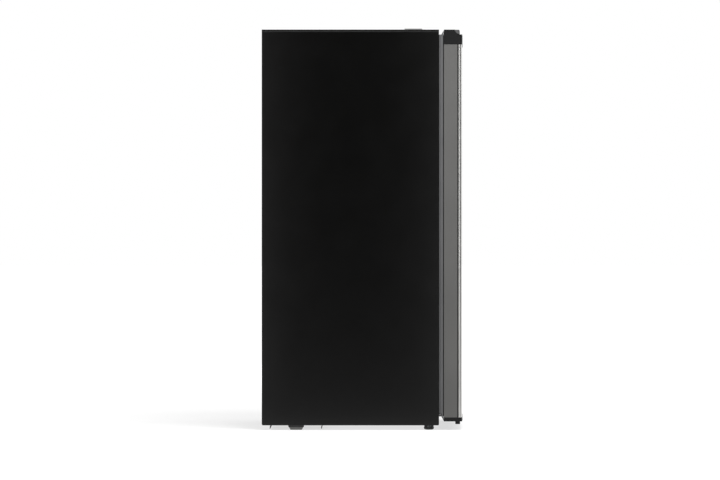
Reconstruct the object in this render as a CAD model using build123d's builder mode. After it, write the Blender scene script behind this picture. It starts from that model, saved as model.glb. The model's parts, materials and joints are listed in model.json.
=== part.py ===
"""Compact single-door refrigerator: insulated steel cabinet on four feet, crowned steel door on the right,
chiller box with its own flap, sliding shelves and drawer, and an open compressor bay at the rear bottom.

Millimetres. +Z is up, the door faces -Y, and the origin is on the floor at the middle of the footprint."""

import os
from math import sqrt

from build123d import *

os.makedirs("parts", exist_ok=True)

# ---------------------------------------------------------------- driving sizes: cabinet
width = 475  # outside width of the cabinet
height = 850  # floor to the cabinet's top face
cabinet_depth = 376
foot_height = 10  # floor to the cabinet's underside
sheet = 0.8  # steel of the cabinet and its bent pans
shell_bend = 6  # bend between the top and the sides
panel_corner = 3  # rounding of the side panels' lower corners
rear_flange = 14
wall_side = 38  # outside face to the room inside
wall_top = 42
wall_bottom = 42
wall_back = 45
liner_wall = 2
liner_flange = 10
liner_corner = 14
bay_depth = 134  # compressor bay, from the back
bay_height = 185
step_wall = 30  # insulation over and in front of the bay

# ---------------------------------------------------------------- driving sizes: door
door_side_gap = 1  # door side, in from the cabinet side
door_gap = 10.5  # cabinet front to the rear edge of the door frame
door_edge_depth = 37.5  # depth of the door at its sides
door_crown = 4.9  # how far the front bulges at its middle
door_corner = 4.9
door_top_drop = 0.5  # door top below the cabinet top
door_bottom = 18.2  # floor to the underside of the door
door_sheet = 0.8
door_return = 20  # rear edge of the frame, folded inwards
groove_setback = 9.1  # front edge of the frame's sides, behind the door's edge
groove_width = 2.7  # between the frame and the wrapped edge of the front
groove_depth = 2.5
cap_top_height = 31.5
cap_bottom_height = 8.5
cap_wall = 4
cap_proud = 1.1  # the caps' front band stands out this far
dike_depth = 18  # the door liner's raised frame, inside the cabinet
dike_width = 20
dike_clearance = 10  # between that frame and the room's walls
hinge_inset = 11  # hinge axis from the door's side
hinge_setback = 39.9  # hinge axis in front of the cabinet
pin_radius = 3
pin_clearance = 0.1
clearance = 0.3  # between pieces that move past each other

# ---------------------------------------------------------------- driving sizes: inside
flap_height = 100
flap_thickness = 10
shelf_thickness = 10
shelf_bar = 12
glass_thickness = 4
shelf_side_gap = 3
shelf_setback = 92  # shelf front behind the cabinet front
lower_shelf_share = 0.35  # of the way from the crisper cover up to the drip tray
upper_shelf_share = 0.665
rib_reach = 8  # shelf ribs, out from the liner
rib_height = 6
drip_tray_height = 20
tray_headroom = 10
crisper_depth = 140
crisper_height = 165
plastic = 2.2  # wall of the trays, drawer and racks
rack_depth = 78
rack_height = 75
rack_gap = 8  # rack end to the door liner's raised frame
lower_rack_rise = 21  # above the crisper cover
upper_rack_rise = 30  # above the upper shelf
chiller_gap = 17.5  # chiller box to the liner's wall

# ---------------------------------------------------------------- places worked out from those sizes
total_depth = cabinet_depth + door_gap + door_edge_depth + door_crown + cap_proud
back_y = total_depth / 2
front_y = back_y - cabinet_depth
door_rear_y = front_y - door_gap
door_edge_y = door_rear_y - door_edge_depth
door_top = height - door_top_drop
skin_top = door_top - cap_top_height
skin_bottom = door_bottom + cap_bottom_height
half = width / 2
door_half = half - door_side_gap
door_width = 2 * door_half

room_half = half - wall_side
room_bottom = foot_height + wall_bottom
room_top = height - wall_top
room_back = back_y - wall_back
bay_front_y = back_y - bay_depth
bay_top = foot_height + bay_height
step_front_y = bay_front_y - step_wall
step_top = bay_top + step_wall
panel_rear_y = back_y - sheet  # back panel, inside the shell's rear flange
panel_front_y = panel_rear_y - sheet

hinge_x = door_half - hinge_inset
hinge_y = front_y - hinge_setback
dike_y = front_y + dike_depth  # how far the closed door reaches into the room
flap_y = dike_y + flap_height + 6  # chiller front, so that the open flap clears the closed door
flap_bottom = room_top - flap_height - 4
drip_tray_z = flap_bottom - drip_tray_height - tray_headroom
cover_z = step_top + rib_height  # crisper cover
lower_shelf_z = cover_z + lower_shelf_share * (drip_tray_z - cover_z)
upper_shelf_z = cover_z + upper_shelf_share * (drip_tray_z - cover_z)
lower_rack_z = cover_z + shelf_thickness + lower_rack_rise
upper_rack_z = upper_shelf_z + shelf_thickness + upper_rack_rise


def slab(x0, x1, y0, y1, z0, z1, mode=Mode.ADD):
    """A box between two corners."""
    with Locations(((x0 + x1) / 2, (y0 + y1) / 2, (z0 + z1) / 2)):
        Box(x1 - x0, y1 - y0, z1 - z0, mode=mode)


def post(x, y, z0, z1, radius, mode=Mode.ADD):
    """An upright cylinder."""
    with Locations((x, y, (z0 + z1) / 2)):
        Cylinder(radius, z1 - z0, mode=mode)


def save(name, builder):
    """Labels a finished piece and writes it."""
    builder.part.label = name
    export_step(builder.part, f"parts/{name}.step")


# ================================================================ cabinet body
def room_block(grow):
    """The room inside the liner, with its step over the compressor bay, grown outwards by a wall."""
    with BuildPart() as room:
        with BuildSketch(Plane.XZ.offset(-front_y)):
            with Locations((0, (room_bottom + room_top) / 2)):
                RectangleRounded(
                    2 * (room_half + grow), room_top - room_bottom + 2 * grow, liner_corner + grow
                )
        extrude(amount=-(room_back + grow - front_y))
        fillet(room.faces().sort_by(Axis.Y)[-1].edges(), liner_corner + grow)
        reach = half
        slab(
            -reach, reach, step_front_y + grow, back_y,
            room_bottom - wall_bottom, step_top - grow, Mode.SUBTRACT,
        )
        nose = room.edges().filter_by(Axis.X).sort_by_distance((0, step_front_y + grow, step_top - grow))[0]
        fillet(nose, liner_corner - grow)
    return room.part


room_inside = room_block(0)
room_outside = room_block(liner_wall)
window_half = room_half + liner_wall
window_top = room_top + liner_wall
window_bottom = room_bottom - liner_wall

bead_width = 16
bead_depth = 3
bead_count = 4
bead_pitch = 88
bead_bottom = bay_top + 45
bead_top = height - 60


def bead_block(y0, y1, shrink=0):
    """The upright stiffening beads pressed into the back panel."""
    with BuildPart() as beads:
        with BuildSketch(Plane.XZ.offset(-y0)):
            with Locations((0, (bead_bottom + bead_top) / 2)):
                with GridLocations(bead_pitch, 1, bead_count, 1):
                    SlotOverall(bead_top - bead_bottom - 2 * shrink, bead_width - 2 * shrink, rotation=90)
        extrude(amount=-(y1 - y0))
    return beads.part


bead_front_y = panel_front_y - bead_depth
bead_outside = bead_block(bead_front_y, panel_rear_y)
bead_inside = bead_block(bead_front_y + sheet, panel_rear_y, sheet)
bead_foam = bead_block(bead_front_y, panel_front_y)

foot_setback = 21  # front feet, behind the cabinet front
foot_inset = 26  # feet, in from the cabinet's sides
stud_radius = 3.9
stud_top = foot_height + 34
nut_height = 6.5
nut_across = 13
foot_y = front_y + foot_setback
foot_x = half - foot_inset
drain_x = 60
drain_y = room_back - 16
drain_radius = 6
line_x = -150  # suction and capillary lines, up through the rear wall
line_y = (room_back + liner_wall + bead_front_y) / 2
line_radius = 4
line_top = room_top - flap_height / 2

with BuildPart() as cabinet_shell:
    with BuildSketch(Plane.XZ.offset(-front_y)) as outline:
        with Locations((0, foot_height)):
            Rectangle(width, height - foot_height, align=(Align.CENTER, Align.MIN))
        fillet(outline.vertices().group_by(Axis.Y)[-1], shell_bend)
    extrude(amount=-cabinet_depth)
    fillet(cabinet_shell.edges().filter_by(Axis.X).group_by(Axis.Z)[0], panel_corner)
    with BuildSketch(Plane.XZ.offset(-(front_y + sheet))) as hollow:
        with Locations((0, foot_height)):
            Rectangle(width - 2 * sheet, height - foot_height - sheet, align=(Align.CENTER, Align.MIN))
        fillet(hollow.vertices().group_by(Axis.Y)[-1], shell_bend - sheet)
    extrude(amount=-(cabinet_depth - 2 * sheet), mode=Mode.SUBTRACT)
    slab(-window_half, window_half, front_y, front_y + sheet, foot_height, window_top, Mode.SUBTRACT)
    rear_half = half - rear_flange
    slab(-rear_half, rear_half, panel_rear_y, back_y, foot_height, height - rear_flange, Mode.SUBTRACT)
save("cabinet_shell", cabinet_shell)

with BuildPart() as base_pan:
    inner = half - sheet
    slab(-window_half, window_half, front_y, front_y + sheet, foot_height, window_bottom)
    slab(-inner, inner, front_y + sheet, bay_front_y + sheet, foot_height, foot_height + sheet)
    slab(-inner, inner, bay_front_y, bay_front_y + sheet, foot_height, bay_top + sheet)
    slab(-inner, inner, bay_front_y, panel_front_y, bay_top, bay_top + sheet)
    for side in (-1, 1):
        post(side * foot_x, foot_y, foot_height, foot_height + sheet, stud_radius + clearance, Mode.SUBTRACT)
    post(drain_x, drain_y, bay_top, bay_top + sheet, drain_radius, Mode.SUBTRACT)
    post(line_x, line_y, bay_top, bay_top + sheet, line_radius, Mode.SUBTRACT)
save("base_pan", base_pan)

with BuildPart() as back_panel:
    inner = half - sheet
    with BuildSketch(Plane.XZ.offset(-panel_front_y)) as blank:
        with Locations((0, bay_top)):
            Rectangle(2 * inner, height - sheet - bay_top, align=(Align.CENTER, Align.MIN))
        fillet(blank.vertices().group_by(Axis.Y)[-1], shell_bend - sheet)
    extrude(amount=-sheet)
    add(bead_outside)
    add(bead_inside, mode=Mode.SUBTRACT)
save("back_panel", back_panel)

with BuildPart() as inner_liner:
    add(room_outside)
    slab(
        -window_half - liner_flange, window_half + liner_flange,
        front_y + sheet, front_y + sheet + liner_wall,
        window_bottom - liner_flange, window_top + liner_flange,
    )
    add(room_inside, mode=Mode.SUBTRACT)
    rib_front_y = front_y + shelf_setback
    rib_rear_y = room_back - liner_corner
    for rib_z in (cover_z, lower_shelf_z, upper_shelf_z, drip_tray_z):
        for side in (-1, 1):
            x0, x1 = sorted((side * (room_half - rib_reach), side * (room_half + liner_wall / 2)))
            slab(x0, x1, rib_front_y, rib_rear_y, rib_z - rib_height, rib_z)
    post(drain_x, drain_y, step_top - 2 * liner_wall, step_top, drain_radius - 2, Mode.SUBTRACT)
save("inner_liner", inner_liner)

# ---------------------------------------------------------------- skin condenser, inside each side panel
coil_radius = 2.4
coil_runs = 8
coil_pitch = 68
coil_bottom = bay_top + 60
coil_front_y = front_y + 45
coil_rear_y = panel_front_y - 45

with BuildPart() as condenser_coils:
    for side in (-1, 1):
        coil_x = side * (half - sheet - coil_radius)
        corners = []
        for run in range(coil_runs):
            run_z = coil_bottom + run * coil_pitch
            ends = (coil_front_y, coil_rear_y) if run % 2 == 0 else (coil_rear_y, coil_front_y)
            corners += [(coil_x, end, run_z) for end in ends]
        with BuildLine() as route:
            FilletPolyline(*corners, radius=coil_pitch / 2 - 1)
        with BuildSketch(Plane(origin=corners[0], z_dir=(0, 1, 0))):
            Circle(coil_radius)
        sweep(path=route.wire())
save("condenser_coils", condenser_coils)

with BuildPart() as cabinet_foam:
    with BuildSketch(Plane.XZ.offset(-(front_y + sheet))) as section:
        with Locations((0, foot_height + sheet)):
            Rectangle(width - 2 * sheet, height - foot_height - 2 * sheet, align=(Align.CENTER, Align.MIN))
        fillet(section.vertices().group_by(Axis.Y)[-1], shell_bend - sheet)
    extrude(amount=-(panel_front_y - front_y - sheet))
    slab(-half, half, bay_front_y, back_y, foot_height, bay_top + sheet, Mode.SUBTRACT)
    slab(
        -window_half - liner_flange, window_half + liner_flange,
        front_y + sheet, front_y + sheet + liner_wall,
        window_bottom - liner_flange, window_top + liner_flange, Mode.SUBTRACT,
    )
    add(room_outside, mode=Mode.SUBTRACT)
    add(bead_foam, mode=Mode.SUBTRACT)
    for side in (-1, 1):
        post(side * foot_x, foot_y, foot_height + sheet, stud_top + clearance, nut_across, Mode.SUBTRACT)
    post(drain_x, drain_y, bay_top + sheet, step_top - liner_wall, drain_radius, Mode.SUBTRACT)
    post(line_x, line_y, bay_top + sheet, line_top, line_radius, Mode.SUBTRACT)
    add(condenser_coils.part, mode=Mode.SUBTRACT)
save("cabinet_foam", cabinet_foam)

# ================================================================ base rail, feet
rail_setback = 18.5  # behind it the bay is open
rail_depth = 111
rail_rear_y = back_y - rail_setback
rail_front_y = rail_rear_y - rail_depth
rail_sheet = 2
rail_lip_bottom = 3.2
rail_half = half - sheet - 0.5
rear_foot_y = rail_rear_y - 54.3
rear_foot_x = half - 24
lip_lean = 2

with BuildPart() as base_rail:
    slab(-rail_half, rail_half, rail_front_y, rail_rear_y, foot_height, foot_height + rail_sheet)
    for lip_y in (rail_front_y + rail_sheet, rail_rear_y):
        with BuildSketch(Plane.YZ.offset(-rail_half)):
            with BuildLine():
                Polyline(
                    (lip_y, foot_height + rail_sheet),
                    (lip_y - rail_sheet, foot_height + rail_sheet),
                    (lip_y - rail_sheet + lip_lean, rail_lip_bottom),
                    (lip_y + lip_lean, rail_lip_bottom),
                    close=True,
                )
            make_face()
        extrude(amount=2 * rail_half)
save("base_rail", base_rail)

foot_block_height = 4.4
foot_width = 34  # rear foot, across its top
foot_neck = 32
foot_base = 24
foot_block_x = 30
foot_pad_x = 22

with BuildPart() as rear_foot_blocks:
    for side in (-1, 1):
        with BuildSketch(Plane.XY.offset(foot_height)):
            with Locations((side * rear_foot_x, rear_foot_y)):
                Rectangle(foot_block_x, foot_width)
        with BuildSketch(Plane.XY.offset(foot_height - foot_block_height)):
            with Locations((side * rear_foot_x, rear_foot_y)):
                Rectangle(foot_block_x - 2, foot_neck)
        loft()
save("rear_foot_blocks", rear_foot_blocks)

with BuildPart() as rear_foot_pads:
    for side in (-1, 1):
        with BuildSketch(Plane.XY.offset(foot_height - foot_block_height)):
            with Locations((side * rear_foot_x, rear_foot_y)):
                Rectangle(foot_block_x - 4, foot_neck - 2)
        with BuildSketch(Plane.XY):
            with Locations((side * rear_foot_x, rear_foot_y)):
                Rectangle(foot_pad_x, foot_base)
        loft()
save("rear_foot_pads", rear_foot_pads)

foot_radius = 10.9
foot_round = 4.4
foot_wall = 3.4
window_span = 9
window_sill = foot_height - 4.8
window_head = foot_height - 0.9
stud_head = 5.6  # half of the hexagon's width across its flats

for side, hand in ((-1, "left"), (1, "right")):
    with BuildPart() as levelling_foot:
        post(side * foot_x, foot_y, 0, foot_height - clearance, foot_radius)
        fillet(levelling_foot.edges().group_by(Axis.Z)[0], foot_round)
        post(side * foot_x, foot_y, window_sill, foot_height, foot_radius - foot_wall, Mode.SUBTRACT)
        with Locations((side * foot_x, foot_y, (window_sill + window_head) / 2)):
            Box(3 * foot_radius, window_span, window_head - window_sill, mode=Mode.SUBTRACT)
            Box(window_span, 3 * foot_radius, window_head - window_sill, mode=Mode.SUBTRACT)
    save(f"levelling_foot_{hand}", levelling_foot)

    with BuildPart() as levelling_stud:
        post(side * foot_x, foot_y, window_sill, stud_top - 12, stud_radius)
        chamfer(levelling_stud.edges().group_by(Axis.Z)[-1], 0.8)
        with BuildSketch(Plane.XY.offset(window_sill)):
            with Locations((side * foot_x, foot_y)):
                RegularPolygon(stud_head, 6, major_radius=False)
        extrude(amount=window_head - window_sill)
    save(f"levelling_stud_{hand}", levelling_stud)

with BuildPart() as foot_nuts:
    for side in (-1, 1):
        with BuildSketch(Plane.XY.offset(foot_height + sheet)):
            with Locations((side * foot_x, foot_y)):
                RegularPolygon(nut_across / 2, 6, major_radius=False)
                Circle(stud_radius + clearance, mode=Mode.SUBTRACT)
        extrude(amount=nut_height)
save("foot_nuts", foot_nuts)

# ================================================================ hinges
plate_thickness = 2.5
hinge_eye = 9  # radius of the plate round its pin
hinge_plate_x = half - 52
hinge_plate_back = front_y + 60
hinge_top_z = height + plate_thickness
bracket_bottom = foot_height
bracket_height = 20
bracket_sheet = 2
screw_head = 4.2
screw_shank = 2.2
head_height = 1.5
pin_length = 18
top_screw_x = hinge_plate_x + 14
top_screw_y = hinge_plate_back - 13
top_screw_step = 14
top_screw_run = 17
bottom_screw_inset = 25.5
bottom_screw_x = half - bottom_screw_inset
bottom_screw_step = 13
bottom_screw_z = bracket_bottom + 10.5

with BuildPart() as hinge_plate_top:
    with BuildSketch(Plane.XY.offset(height)):
        with BuildLine():
            Polyline(
                (hinge_plate_x, hinge_plate_back),
                (hinge_x + hinge_eye, hinge_plate_back),
                (hinge_x + hinge_eye, hinge_y),
                (hinge_x - hinge_eye, hinge_y),
                (hinge_x - hinge_eye, front_y - 2),
                (hinge_plate_x, front_y + 16),
                close=True,
            )
        make_face()
        with Locations((hinge_x, hinge_y)):
            Circle(hinge_eye)
        for n in (0, 1):
            with Locations((top_screw_x + top_screw_step * n, top_screw_y - top_screw_run * n)):
                Circle(screw_shank, mode=Mode.SUBTRACT)
    extrude(amount=plate_thickness)
    post(hinge_x, hinge_y, height - pin_length, height, pin_radius)
save("hinge_plate_top", hinge_plate_top)

cover_wall = 1.6
cover_top = height + 6.8

with BuildPart() as hinge_cover_top:
    slab(
        hinge_plate_x - 2, half - 1.2, front_y + 1.5, hinge_plate_back + 3, height, cover_top,
    )
    fillet(hinge_cover_top.edges().filter_by(Axis.Z), 4)
    fillet(hinge_cover_top.faces().sort_by(Axis.Z)[-1].edges(), 1.5)
    slab(
        hinge_plate_x - 2 + cover_wall, half - 1.2 - cover_wall, front_y + 1.5 + cover_wall,
        hinge_plate_back + 3 - cover_wall, height, cover_top - cover_wall, Mode.SUBTRACT,
    )
    slab(
        hinge_x - hinge_eye - 12, half, front_y, front_y + 5, height, hinge_top_z + clearance, Mode.SUBTRACT,
    )
save("hinge_cover_top", hinge_cover_top)

with BuildPart() as hinge_bracket_bottom:
    with BuildSketch(Plane.XY.offset(bracket_bottom)):
        with BuildLine():
            Polyline(
                (half - 48, front_y),
                (half - 3, front_y),
                (hinge_x + hinge_eye, hinge_y),
                (hinge_x - hinge_eye, hinge_y),
                (half - 48, front_y - 8),
                close=True,
            )
        make_face()
        with Locations((hinge_x, hinge_y)):
            Circle(hinge_eye)
    extrude(amount=bracket_sheet)
    slab(
        half - 48, half - 3, front_y - plate_thickness, front_y,
        bracket_bottom, bracket_bottom + bracket_height,
    )
    post(hinge_x, hinge_y, bracket_bottom, bracket_bottom + 13, pin_radius)
    for n in (-1, 1):
        screw_place = (bottom_screw_x + bottom_screw_step * n, front_y, bottom_screw_z)
        with Locations(Location(screw_place, (90, 0, 0))):
            Cylinder(screw_shank, 4 * plate_thickness, mode=Mode.SUBTRACT)
save("hinge_bracket_bottom", hinge_bracket_bottom)

with BuildPart() as hinge_screws:
    for n in (0, 1):
        screw_x = top_screw_x + top_screw_step * n
        screw_y = top_screw_y - top_screw_run * n
        post(screw_x, screw_y, height, hinge_top_z, screw_shank)
        post(screw_x, screw_y, hinge_top_z, hinge_top_z + head_height, screw_head)
        slab(
            screw_x - screw_head, screw_x + screw_head, screw_y - 0.5, screw_y + 0.5,
            hinge_top_z + head_height - 0.7, hinge_top_z + head_height, Mode.SUBTRACT,
        )
    for n in (-1, 1):
        with BuildSketch(Plane.XZ.offset(-front_y)):
            with Locations((bottom_screw_x + bottom_screw_step * n, bottom_screw_z)):
                Circle(screw_shank)
        extrude(amount=plate_thickness)
        with BuildSketch(Plane.XZ.offset(-front_y + plate_thickness)):
            with Locations((bottom_screw_x + bottom_screw_step * n, bottom_screw_z)):
                Circle(screw_head)
                Rectangle(2 * screw_head, 1, mode=Mode.SUBTRACT)
        extrude(amount=head_height)
save("hinge_screws", hinge_screws)

plug_height = 2.3

with BuildPart() as screw_hole_cover:
    slab(-half + 22, -half + 52, front_y + 35, front_y + 73, height, height + plug_height)
    fillet(screw_hole_cover.edges().filter_by(Axis.Z), 3)
    fillet(screw_hole_cover.faces().sort_by(Axis.Z)[-1].edges(), 1)
save("screw_hole_cover", screw_hole_cover)


# ================================================================ door
def door_plan(level, inset=0, forward=0):
    """The door's plan at one level: straight sides, rounded corners and a crowned front."""
    side_x = door_half - inset
    rear_y = door_rear_y - inset
    edge_y = door_edge_y + inset - forward
    with BuildSketch(Plane.XY.offset(level)) as plan:
        with BuildLine():
            Polyline((-side_x, edge_y), (-side_x, rear_y), (side_x, rear_y), (side_x, edge_y))
            ThreePointArc((side_x, edge_y), (0, edge_y - door_crown), (-side_x, edge_y))
        make_face()
        fillet(plan.vertices().group_by(Axis.Y)[0], max(door_corner - inset, door_sheet))
    return plan.sketch


lip_height = cap_top_height - 10.3  # front lip of the top cap; the rest of the cap stands higher
lip_top = skin_top + lip_height
block_setback = 4.9  # raised rear part of the cap, behind the door's front
trough_half = 105  # finger trough behind the lip
trough_depth = 17
trough_reach = 19
lip_thickness = 5
notch_radius = 9.2
notch_length = 24
boss_radius = 5.2
boss_bottom = bracket_bottom + bracket_sheet + clearance
bush_radius = 6.5
bush_length = 15
bush_boss = 9.5  # rounded boss of the top cap round the bush
pin_bore = pin_radius + pin_clearance
block_front_y = door_edge_y + block_setback

skin_plan = door_plan(skin_bottom)
skin_hollow_plan = door_plan(skin_bottom, door_sheet)
lip_plan = door_plan(skin_top, 0, cap_proud)
block_plan = door_plan(skin_top, 0, -block_setback)
bottom_lip_plan = door_plan(door_bottom, 0, cap_proud)

groove_rear_y = door_edge_y + groove_setback
groove_front_y = groove_rear_y - groove_width
groove_wall = groove_depth + door_sheet
groove_floor_y = door_edge_y + door_corner / 2  # the frame's lip starts behind the bend of the front
front_y_limit = door_edge_y - door_crown - 1

with BuildPart() as door_frame:
    extrude(skin_plan, amount=skin_top - skin_bottom)
    extrude(skin_hollow_plan, amount=skin_top - skin_bottom, mode=Mode.SUBTRACT)
    slab(
        door_return - door_half, door_half - door_return, door_rear_y - 1, door_rear_y,
        skin_bottom, skin_top, Mode.SUBTRACT,
    )
    slab(-half, half, front_y_limit, groove_rear_y, skin_bottom, skin_top, Mode.SUBTRACT)
    for side in (-1, 1):
        x0, x1 = sorted((side * door_half, side * (door_half - groove_wall)))
        slab(x0, x1, groove_rear_y, groove_rear_y + door_sheet, skin_bottom, skin_top)
        x0, x1 = sorted((side * (door_half - groove_depth), side * (door_half - groove_wall)))
        slab(x0, x1, groove_floor_y, groove_rear_y + door_sheet, skin_bottom, skin_top)
save("door_frame", door_frame)

with BuildPart() as door_front:
    extrude(skin_plan, amount=skin_top - skin_bottom)
    extrude(skin_hollow_plan, amount=skin_top - skin_bottom, mode=Mode.SUBTRACT)
    slab(-half, half, groove_front_y, door_rear_y, skin_bottom, skin_top, Mode.SUBTRACT)
save("door_front", door_front)

trough_rear_y = door_edge_y - door_crown - cap_proud + lip_thickness + trough_reach
trough_plan = door_plan(lip_top - trough_depth, lip_thickness, cap_proud)

with BuildPart() as door_cap_top:
    extrude(block_plan, amount=cap_top_height)
    fillet(door_cap_top.faces().sort_by(Axis.Z)[-1].edges(), 1.2)
    extrude(lip_plan, amount=lip_height)
    fillet(door_cap_top.edges().group_by(Axis.Z)[0].sort_by(Axis.Y)[0], 1)
    post(hinge_x, hinge_y, skin_top + 1, door_top, bush_boss)
    slab(
        cap_wall - door_half, door_half - cap_wall, trough_rear_y + cap_wall, door_rear_y - cap_wall,
        skin_top, door_top - cap_wall, Mode.SUBTRACT,
    )
    with BuildSketch(Plane.XY.offset(lip_top - trough_depth)):
        add(trough_plan)
        with Locations((0, trough_rear_y)):
            Rectangle(
                2 * trough_half, 2 * cap_top_height, align=(Align.CENTER, Align.MAX), mode=Mode.INTERSECT
            )
    extrude(amount=cap_top_height, mode=Mode.SUBTRACT)
    post(hinge_x, hinge_y, door_top - bush_length, door_top, bush_radius, Mode.SUBTRACT)
    post(hinge_x, hinge_y, height - pin_length - 2, door_top, pin_bore, Mode.SUBTRACT)
    with Locations(Location((-door_half, block_front_y, door_top), (0, 90, 0))):
        Cylinder(
            notch_radius, notch_length, align=(Align.CENTER, Align.CENTER, Align.MIN), mode=Mode.SUBTRACT
        )
save("door_cap_top", door_cap_top)

with BuildPart() as door_cap_bottom:
    extrude(bottom_lip_plan, amount=cap_bottom_height)
    fillet(door_cap_bottom.edges().group_by(Axis.Z)[0].sort_by(Axis.Y)[0], 0.8)
    for side in (-1, 1):
        post(side * hinge_x, hinge_y, boss_bottom, door_bottom, boss_radius)
        post(side * hinge_x, hinge_y, boss_bottom, skin_bottom - 1, pin_bore, Mode.SUBTRACT)
save("door_cap_bottom", door_cap_bottom)

with BuildPart() as door_hole_cover:
    with Locations(Location((-door_half, block_front_y, door_top), (0, 90, 0))):
        Cylinder(notch_radius, notch_length, align=(Align.CENTER, Align.CENTER, Align.MIN))
    slab(
        -door_half, notch_length - door_half, block_front_y + 0.4, block_front_y + notch_radius,
        door_top - notch_radius, door_top - 0.4, Mode.INTERSECT,
    )
save("door_hole_cover", door_hole_cover)

with BuildPart() as hinge_bush:
    post(hinge_x, hinge_y, door_top - bush_length, door_top, bush_radius)
    post(hinge_x, hinge_y, door_top - bush_length, door_top, pin_bore, Mode.SUBTRACT)
save("hinge_bush", hinge_bush)

gasket_depth = 5.3
gasket_inset = hinge_inset + 1  # the sealing face stays inside the hinge axis
bellows_gap = 1.6  # gasket body to the cabinet; only its face and lip are nearer
bellows_inset = 1
lip_gap = 0.5  # lip of the free edge to the cabinet
lip_width = 2
gasket_rise = 13.8
gasket_drop = 10
gasket_width = 16
magnet_width = 8
magnet_thickness = 2
seam_depth = 2
seam_inset = 5
flange_taper = 10
flange_cover = 2.6  # gasket skirt round the liner's flange
flange_wall = seam_inset + liner_wall
boss_reach = 7.5  # rack bosses, out from the raised frame
rack_boss_height = 24
rack_boss_depth = 14
rack_boss_setback = 4
rack_boss_rise = 22
liner_rear_y = front_y - gasket_depth
dike_half = room_half - dike_clearance
dike_bottom = room_bottom + dike_clearance
dike_top = room_top - dike_clearance
dike_inner = dike_half - dike_width
rack_half = dike_inner - rack_gap
rack_rear_y = liner_rear_y + 0.5
boss_y0 = liner_rear_y + rack_boss_setback
boss_y1 = boss_y0 + rack_boss_depth


def frame_block(half_x, z0, z1, y0, y1, band, corner):
    """A rounded frame standing on the XZ plane."""
    with BuildPart() as frame:
        with BuildSketch(Plane.XZ.offset(-y0)):
            with Locations((0, (z0 + z1) / 2)):
                RectangleRounded(2 * half_x, z1 - z0, corner)
                RectangleRounded(
                    2 * (half_x - band), z1 - z0 - 2 * band, max(corner - band, 3), mode=Mode.SUBTRACT
                )
        extrude(amount=-(y1 - y0))
    return frame.part


dike_outside = frame_block(dike_half, dike_bottom, dike_top, liner_rear_y, dike_y, dike_width, 18)
dike_inside = frame_block(
    dike_half - liner_wall, dike_bottom + liner_wall, dike_top - liner_wall,
    door_rear_y, dike_y - liner_wall, dike_width - 2 * liner_wall, 16,
)
gasket_half = door_half - gasket_inset
gasket_bottom = door_bottom + gasket_rise
gasket_top = door_top - gasket_drop
magnet_inset = (gasket_width - magnet_width) / 2
gasket_face = frame_block(
    gasket_half, gasket_bottom, gasket_top, front_y - bellows_gap, front_y - clearance, gasket_width, 4
)
gasket_band = gasket_width + gasket_inset - bellows_inset
gasket_body = frame_block(
    door_half - bellows_inset, gasket_bottom, gasket_top,
    liner_rear_y, front_y - bellows_gap, gasket_band, 4,
)
magnet_block = frame_block(
    gasket_half - magnet_inset, gasket_bottom + magnet_inset, gasket_top - magnet_inset,
    front_y - clearance - 0.7 - magnet_thickness, front_y - clearance - 0.7, magnet_width, 3,
)
gasket_waist = frame_block(
    door_half, gasket_bottom - bellows_inset, gasket_top + bellows_inset,
    liner_rear_y + 1.4, liner_rear_y + 2.2, 2 * bellows_inset, 4,
)


def flange_block(inset):
    """The liner's flange with its tapered ends, drawn in by an inset."""
    y0 = door_rear_y + seam_depth
    near = flange_taper * seam_depth / (liner_rear_y - door_rear_y)
    side = door_half - bellows_inset - inset
    with BuildPart() as flange:
        with BuildSketch(Plane.YZ.offset(-side)):
            with BuildLine():
                Polyline(
                    (y0, door_bottom + near + inset), (liner_rear_y, door_bottom + flange_taper + inset),
                    (liner_rear_y, door_top - flange_taper - inset), (y0, door_top - near - inset),
                    close=True,
                )
            make_face()
        extrude(amount=2 * side)
    return flange.part


flange_outside = flange_block(0)
flange_inside = flange_block(flange_cover)

with BuildPart() as door_liner:
    slab(
        seam_inset - door_half, door_half - seam_inset, door_rear_y, door_rear_y + seam_depth,
        door_bottom + seam_inset, door_top - seam_inset,
    )
    add(flange_inside)
    add(dike_outside)
    fillet(door_liner.faces().sort_by(Axis.Y)[-1].edges(), 5)
    slab(
        flange_wall - door_half, door_half - flange_wall, door_rear_y, liner_rear_y - liner_wall,
        door_bottom + 12, door_top - 12, Mode.SUBTRACT,
    )
    add(dike_inside, mode=Mode.SUBTRACT)
    for rack_z in (lower_rack_z, upper_rack_z):
        boss_z = rack_z + rack_boss_rise
        for side in (-1, 1):
            x0, x1 = sorted((side * (dike_inner - boss_reach), side * (dike_inner + liner_wall / 2)))
            slab(x0, x1, boss_y0, boss_y1, boss_z, boss_z + rack_boss_height)
save("door_liner", door_liner)

with BuildPart() as door_foam:
    extrude(skin_hollow_plan, amount=skin_top - skin_bottom)
    for side in (-1, 1):
        x0, x1 = sorted((side * door_half, side * (door_half - groove_wall)))
        slab(x0, x1, front_y_limit, groove_rear_y + door_sheet, skin_bottom, skin_top, Mode.SUBTRACT)
    slab(
        door_return - door_half, door_half - door_return, door_rear_y - door_sheet, door_rear_y,
        skin_bottom, skin_top,
    )
    slab(
        cap_wall - door_half, door_half - cap_wall, trough_rear_y + cap_wall, door_rear_y - cap_wall,
        skin_top, door_top - cap_wall,
    )
    slab(
        flange_wall - door_half, door_half - flange_wall, door_rear_y, liner_rear_y - liner_wall,
        door_bottom + 12, door_top - 12,
    )
    add(dike_inside)
save("door_foam", door_foam)

with BuildPart() as door_gasket:
    add(flange_outside)
    add(flange_inside, mode=Mode.SUBTRACT)
    add(gasket_body)
    add(gasket_waist, mode=Mode.SUBTRACT)
    add(gasket_face)
    slab(
        bellows_inset - door_half, bellows_inset + lip_width - door_half,
        front_y - bellows_gap, front_y - lip_gap, gasket_bottom + 4, gasket_top - 4,
    )
    add(magnet_block, mode=Mode.SUBTRACT)
save("door_gasket", door_gasket)

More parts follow.
